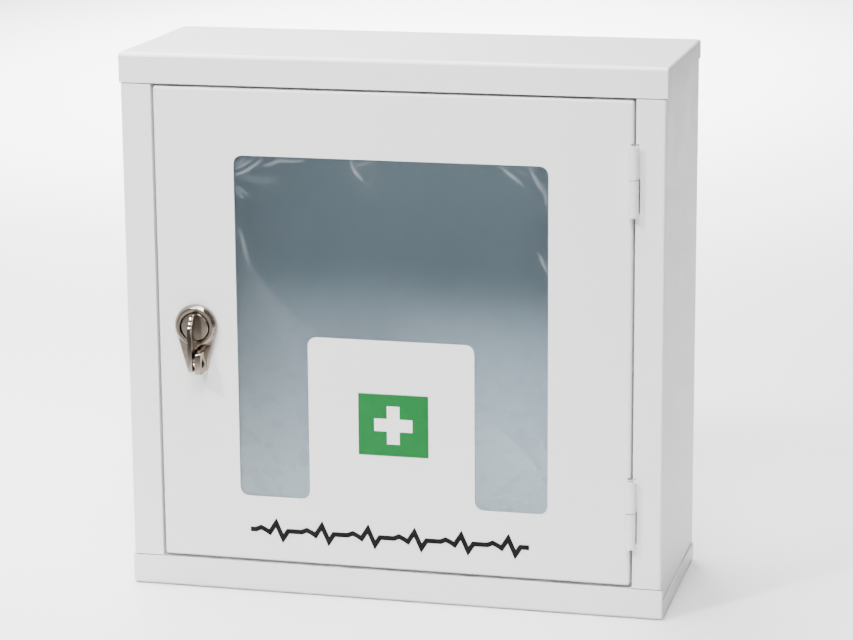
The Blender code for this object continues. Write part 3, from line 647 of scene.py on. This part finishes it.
def crease_marks(places):
    """How hazy the film is at each place, from 0 to 1, and how far it lifts off the pane there."""
    veil = np.zeros(len(places))
    lift = np.zeros(len(places))
    for *points, width, strength in CREASES:
        distance, along, _ = nearest_on(curve_points(*points), places)
        ridge = np.exp(-((distance / width) ** 2)) * np.sqrt(np.sin(math.pi * np.clip(along, *CREASE_ENDS)))
        veil = np.maximum(veil, strength * ridge)
        lift = np.maximum(lift, strength * ridge)
    for *points, width, strength in FOLDS:
        distance, along, side = nearest_on(curve_points(*points), places)
        slope = np.where(side < 0, np.exp(-distance / width), np.exp(-((distance / FILM_STEP) ** 2)))
        slope *= np.sin(math.pi * np.clip(along, *FOLD_ENDS))
        veil = np.maximum(veil, strength * slope)
        lift = np.maximum(lift, strength * slope)
    return veil, lift


def inside_window(places, low, high):
    """1 well inside the window's opening, falling to 0 at its edge, beside the tab and behind the door."""
    across, up = places.T
    left, right = low.x + FILM_OVERLAP, high.x - FILM_OVERLAP
    bottom, top = low.z + FILM_OVERLAP, high.z - FILM_OVERLAP
    to_edge = np.minimum.reduce([across - left, right - across, up - bottom, top - up])
    to_tab = np.maximum.reduce([TAB_LEFT - across, across - TAB_RIGHT, up - TAB_TOP])
    return np.clip(np.minimum(to_edge, to_tab) / FILM_MASK, 0.0, 1.0)


def make_film(material):
    """The creased film on the front of the pane, as one thin sheet that lifts along its creases."""
    low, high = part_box("protective_film")
    size = high - low
    shape = bmesh.new()
    bmesh.ops.create_grid(
        shape,
        x_segments=round(size.x / FILM_STEP),
        y_segments=round(size.z / FILM_STEP),
        size=0.5,
        matrix=Matrix.Translation((low + high) / 2)
        @ Matrix.Rotation(math.pi / 2, 4, "X")
        @ Matrix.Diagonal((size.x, size.z, 1.0, 1.0)),
    )
    mesh = bpy.data.meshes.new("creased_film")
    shape.to_mesh(mesh)
    shape.free()
    points = np.empty(len(mesh.vertices) * 3, np.float32)
    mesh.vertices.foreach_get("co", points)
    points = points.reshape(-1, 3)
    places = points[:, [0, 2]].astype(float)
    veil, lift = crease_marks(places)
    # Painted reflection: the low film is made milkier so that the lower window looks brighter, as if it
    # mirrored the floor
    veil += LOW_PAINTED_SHEEN * np.interp(places[:, 1], (PAINTED_SHEEN_BOTTOM, PAINTED_SHEEN_TOP), (1.0, 0.0))
    mask = inside_window(places, low, high)
    points[:, 1] -= FILM_LIFT * lift * mask
    mesh.vertices.foreach_set("co", points.ravel())
    mesh.attributes.new("haze_and_sheen", "FLOAT", "POINT").data.foreach_set("value", veil.astype(np.float32))
    mesh.shade_smooth()
    film = new_piece("creased_film", mesh, material, "door")
    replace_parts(film, "protective_film")


# ---------------------------------------------------------------- green label

def cross_outline(centre, reach, arm):
    """A plus sign, as the corners of its upper right quarter turned round four times."""
    quarter = [(arm, arm), (arm, reach), (-arm, reach)]
    outline = []
    for turn in range(4):
        spin = Matrix.Rotation(math.pi / 2 * turn, 2)
        outline += [tuple(Vector(centre) + spin @ Vector(corner)) for corner in quarter]
    return outline


def make_sign(green, white):
    """The label's green field, with a plain white first-aid cross let into it."""
    low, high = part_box("sign_label")
    centre = ((low.x + high.x) / 2, (low.z + high.z) / 2)
    reach = (high.z - low.z) / 2 * CROSS_SHARE
    arm = reach * CROSS_ARM_SHARE
    border = [(low.x, low.z), (high.x, low.z), (high.x, high.z), (low.x, high.z)]
    hole = cross_outline(centre, reach, arm)
    field = plate("sign_field", [border, hole], low.y, high.y)
    sign = new_piece("sign_field", field, green, "door")
    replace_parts(sign, "sign_label")
    cross = plate("sign_cross", [cross_outline(centre, reach - CROSS_GAP, arm - CROSS_GAP)], low.y, high.y)
    new_piece("sign_cross", cross, white, "door")


# ---------------------------------------------------------------- lock

def at_depth(depth):
    """The Y place at a depth in front of the door."""
    return FRONT - depth


def turned_profile(corners, radii):
    """A profile for turned() from (radius, depth) corners, each rounded by its radius."""
    return [(radius, -depth) for radius, depth in rounded(corners, radii)]


def thread_profile(radius, bore, front, back, depth, pitch):
    """A threaded tube's profile: grooves one pitch apart between two depths, over a plain bore."""
    turns = round((front - back) / pitch)
    step = (front - back) / turns
    profile = [(bore, -front)]
    for turn in range(turns):
        place = front - turn * step
        profile += [(radius - depth, -place), (radius, -(place - step / 2))]
    return profile + [(radius - depth, -back), (bore, -back)]


def teardrop():
    """The lock's flange: a circle that narrows down to the bottom of its tail along two tangents."""
    half = TAIL_WIDTH / 2
    tangent = math.atan2(-TAIL_DROP, half) + math.acos(FLANGE_RADIUS / math.hypot(half, TAIL_DROP))
    top = arc_points((AXIS_X, AXIS_Z), FLANGE_RADIUS, tangent, math.pi - 2 * tangent, ROUND_STEPS)
    low_corners = [(AXIS_X - half, AXIS_Z - TAIL_DROP), (AXIS_X + half, AXIS_Z - TAIL_DROP)]
    tail = rounded([top[-1], *low_corners, top[0]], (0, TAIL_RADIUS, TAIL_RADIUS, 0))
    return top + tail[1:-1]


def boss():
    """The turned boss on the flange: a wide chamfer, a flat ring, and the recess for the rotor."""
    corners = [
        (BORE_RADIUS, FLANGE_BACK),
        (FLANGE_RADIUS, FLANGE_BACK),
        (FLANGE_RADIUS, BOSS_SHOULDER),
        (BOSS_TOP_RADIUS, BOSS_FRONT),
        (RECESS_RADIUS, BOSS_FRONT),
        (RECESS_RADIUS, RECESS_DEPTH),
        (BORE_RADIUS, RECESS_DEPTH),
    ]
    radii = (0, 0, BOSS_ROUNDING, BOSS_ROUNDING, BOSS_ROUNDING, 0, 0)
    return turned("lock_boss", turned_profile(corners, radii), (AXIS_X, FRONT, AXIS_Z))


def padlock_lug():
    front, back = at_depth(LUG_FRONT), at_depth(FLANGE_BACK)
    bottom, top = AXIS_Z + LUG_Z[0], AXIS_Z + LUG_Z[1]
    corners = [(front, bottom), (back, bottom), (back, top), (front, top)]
    outline = rounded(corners, (LUG_RADIUS, 0, 0, LUG_RADIUS))
    return plate("lock_lug", [outline], AXIS_X + LUG_X[0], AXIS_X + LUG_X[1], LUG_EDGE, "X")


def padlock_hole(low, high):
    """Cutter for the padlock's hole between two X places, flared where it comes out of the metal."""
    wide = HOLE_RADIUS + HOLE_FLARE
    profile = [
        (0.0, low - HOLE_FLARE),
        (wide + HOLE_FLARE, low - HOLE_FLARE),
        (HOLE_RADIUS, low + HOLE_FLARE),
        (HOLE_RADIUS, high - HOLE_FLARE),
        (wide + HOLE_FLARE, high + HOLE_FLARE),
        (0.0, high + HOLE_FLARE),
    ]
    centre = (0.0, at_depth(HOLE_DEPTH), AXIS_Z + HOLE_Z)
    return turned("padlock_hole", profile, centre, along="X", closed=False)


def make_lock_body(material):
    """The lock's casting: flange with its tail, boss, padlock lug and threaded barrel."""
    flange = plate(
        "lock_flange",
        [teardrop(), arc_points((AXIS_X, AXIS_Z), BARREL_RADIUS, 0.0, math.tau, ROUND_STEPS)[:-1]],
        at_depth(FLANGE_FRONT),
        at_depth(FLANGE_BACK),
        FLANGE_EDGE,
    )
    thread = thread_profile(
        BARREL_RADIUS, BORE_RADIUS, FLANGE_FRONT - MM, BARREL_BACK, THREAD_DEPTH, THREAD_PITCH
    )
    barrel = turned("lock_barrel", thread, (AXIS_X, FRONT, AXIS_Z))
    body = combined(
        "lock_casting",
        boss(),
        ("UNION", flange),
        ("UNION", padlock_lug()),
        ("UNION", barrel),
        ("DIFFERENCE", padlock_hole(AXIS_X + LUG_X[0], AXIS_X + LUG_X[1])),
    )
    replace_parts(new_piece("lock_casting", body, material, "door"), "lock_body")


def wing_outline():
    """Side view of the rotor's wing, as (Y, Z): a sloping thumb grip with ridges over a straight arm."""
    start = Vector((WING_LIP, WING_TOP))
    end = Vector((WING_FRONT, WING_SHOULDER))
    outward = Vector((end.y - start.y, start.x - end.x)).normalized() * -GRIP_HEIGHT
    steps = GRIP_RIDGES * FINE_STEPS
    grip = []
    for step in range(steps + 1):
        share = step / steps
        grip.append(tuple(start.lerp(end, share) + outward * abs(math.sin(math.pi * GRIP_RIDGES * share))))
    arm = rounded(
        [(WING_FRONT, WING_SHOULDER), (WING_FRONT, WING_BOTTOM), (WING_BACK, WING_BOTTOM)],
        (0, WING_CORNER, WING_CORNER / 2),
    )
    root = [(WING_BACK, -WING_TOP), (WING_ROOT, -WING_TOP), (WING_ROOT, WING_TOP)]
    return [(at_depth(depth), AXIS_Z + up) for depth, up in grip + arm[1:] + root]


def make_rotor(material):
    """The rotor: a chamfered disc on its shaft, with the padlockable wing on its front."""
    corners = [
        (0.0, DISC_FRONT),
        (DISC_RADIUS - DISC_CHAMFER, DISC_FRONT),
        (DISC_RADIUS, DISC_FRONT - DISC_CHAMFER),
        (DISC_RADIUS, DISC_BACK),
        (SHAFT_RADIUS, DISC_BACK),
        (SHAFT_RADIUS, SHAFT_BACK),
        (SCREW_BORE_RADIUS, SHAFT_BACK),
        (SCREW_BORE_RADIUS, SCREW_BORE_END),
        (0.0, SCREW_BORE_END),
    ]
    radii = (0, BOSS_ROUNDING, BOSS_ROUNDING, 0, 0, 0, 0, 0, 0)
    disc = turned("rotor_disc", turned_profile(corners, radii), (AXIS_X, FRONT, AXIS_Z), closed=False)
    left, right = AXIS_X - WING_HALF, AXIS_X + WING_HALF
    wing = plate("rotor_wing", [wing_outline()], left, right, WING_EDGE, "X")
    rotor = combined("rotor_casting", disc, ("UNION", wing), ("DIFFERENCE", padlock_hole(left, right)))
    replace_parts(new_piece("rotor_casting", rotor, material, "latch"), "lock_rotor")


# ---------------------------------------------------------------- fasteners

def make_studs(material):
    """Threaded studs in place of the plain ones that hold the glazing strips."""
    for name in sorted(node for node in NODES if node.startswith("glazing_stud")):
        low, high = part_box(name)
        centre = ((low.x + high.x) / 2, 0.0, (low.z + high.z) / 2)
        radius = (high.x - low.x) / 2
        profile = thread_profile(radius, 0.0, -low.y, -high.y, STUD_THREAD_DEPTH, STUD_PITCH)
        mesh = turned(name, profile, centre, closed=False, steps=STUD_STEPS)
        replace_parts(new_piece(f"threaded_{name}", mesh, material, "door"), name)


# ---------------------------------------------------------------- whole model

def make_materials():
    return {
        "paint": powder_coat("white_powder_coat", PAINT_WHITE, gloss=0.36),
        # The hinges carry the body's white paint; this darker, bluer copy is painted shade on their knuckles
        "hinge": powder_coat("white_hinge_paint", HINGE_WHITE_PAINTED_SHADE, gloss=0.24, coat=1.0),
        "zinc": zinc_plate(),
        "nickel": nickel_plate(),
        "rubber": rubber(),
        "pane": clear_sheet("clear_acrylic", THROUGH_PANE, gloss=0.03),
        "film": clear_sheet("protective_film", THROUGH_FILM, gloss=0.22, veil=film_haze_and_sheen),
        "green": vinyl("sign_green", SIGN_GREEN, shine=0.15),
        "white": vinyl("sign_white", PAINT_WHITE),
        "black": vinyl("pulse_black", PRINT_BLACK, gloss=0.5, shine=0.1),
    }


def dress_cad(materials):
    sheets = [name for name in nodes_in_slot("white_powder_coat") if name != "door_panel"]
    dress(sheets, materials["paint"], SHEET_EDGE)
    dress(["door_panel"], materials["paint"], DOOR_EDGE)
    dress(nodes_in_slot("white_hinge_paint"), materials["hinge"], HINGE_EDGE)
    dress(nodes_in_slot("zinc_plated_steel"), materials["zinc"], METAL_EDGE)
    dress(nodes_in_slot("grey_rubber"), materials["rubber"], METAL_EDGE)
    dress(["window_pane"], materials["pane"], SHEET_EDGE)
    dress(["pulse_label"], materials["black"], LABEL_EDGE)


make_camera()
make_stage()
materials = make_materials()
dress_cad(materials)
make_film(materials["film"])
make_sign(materials["green"], materials["white"])
make_lock_body(materials["nickel"])
make_rotor(materials["nickel"])
make_studs(materials["zinc"])
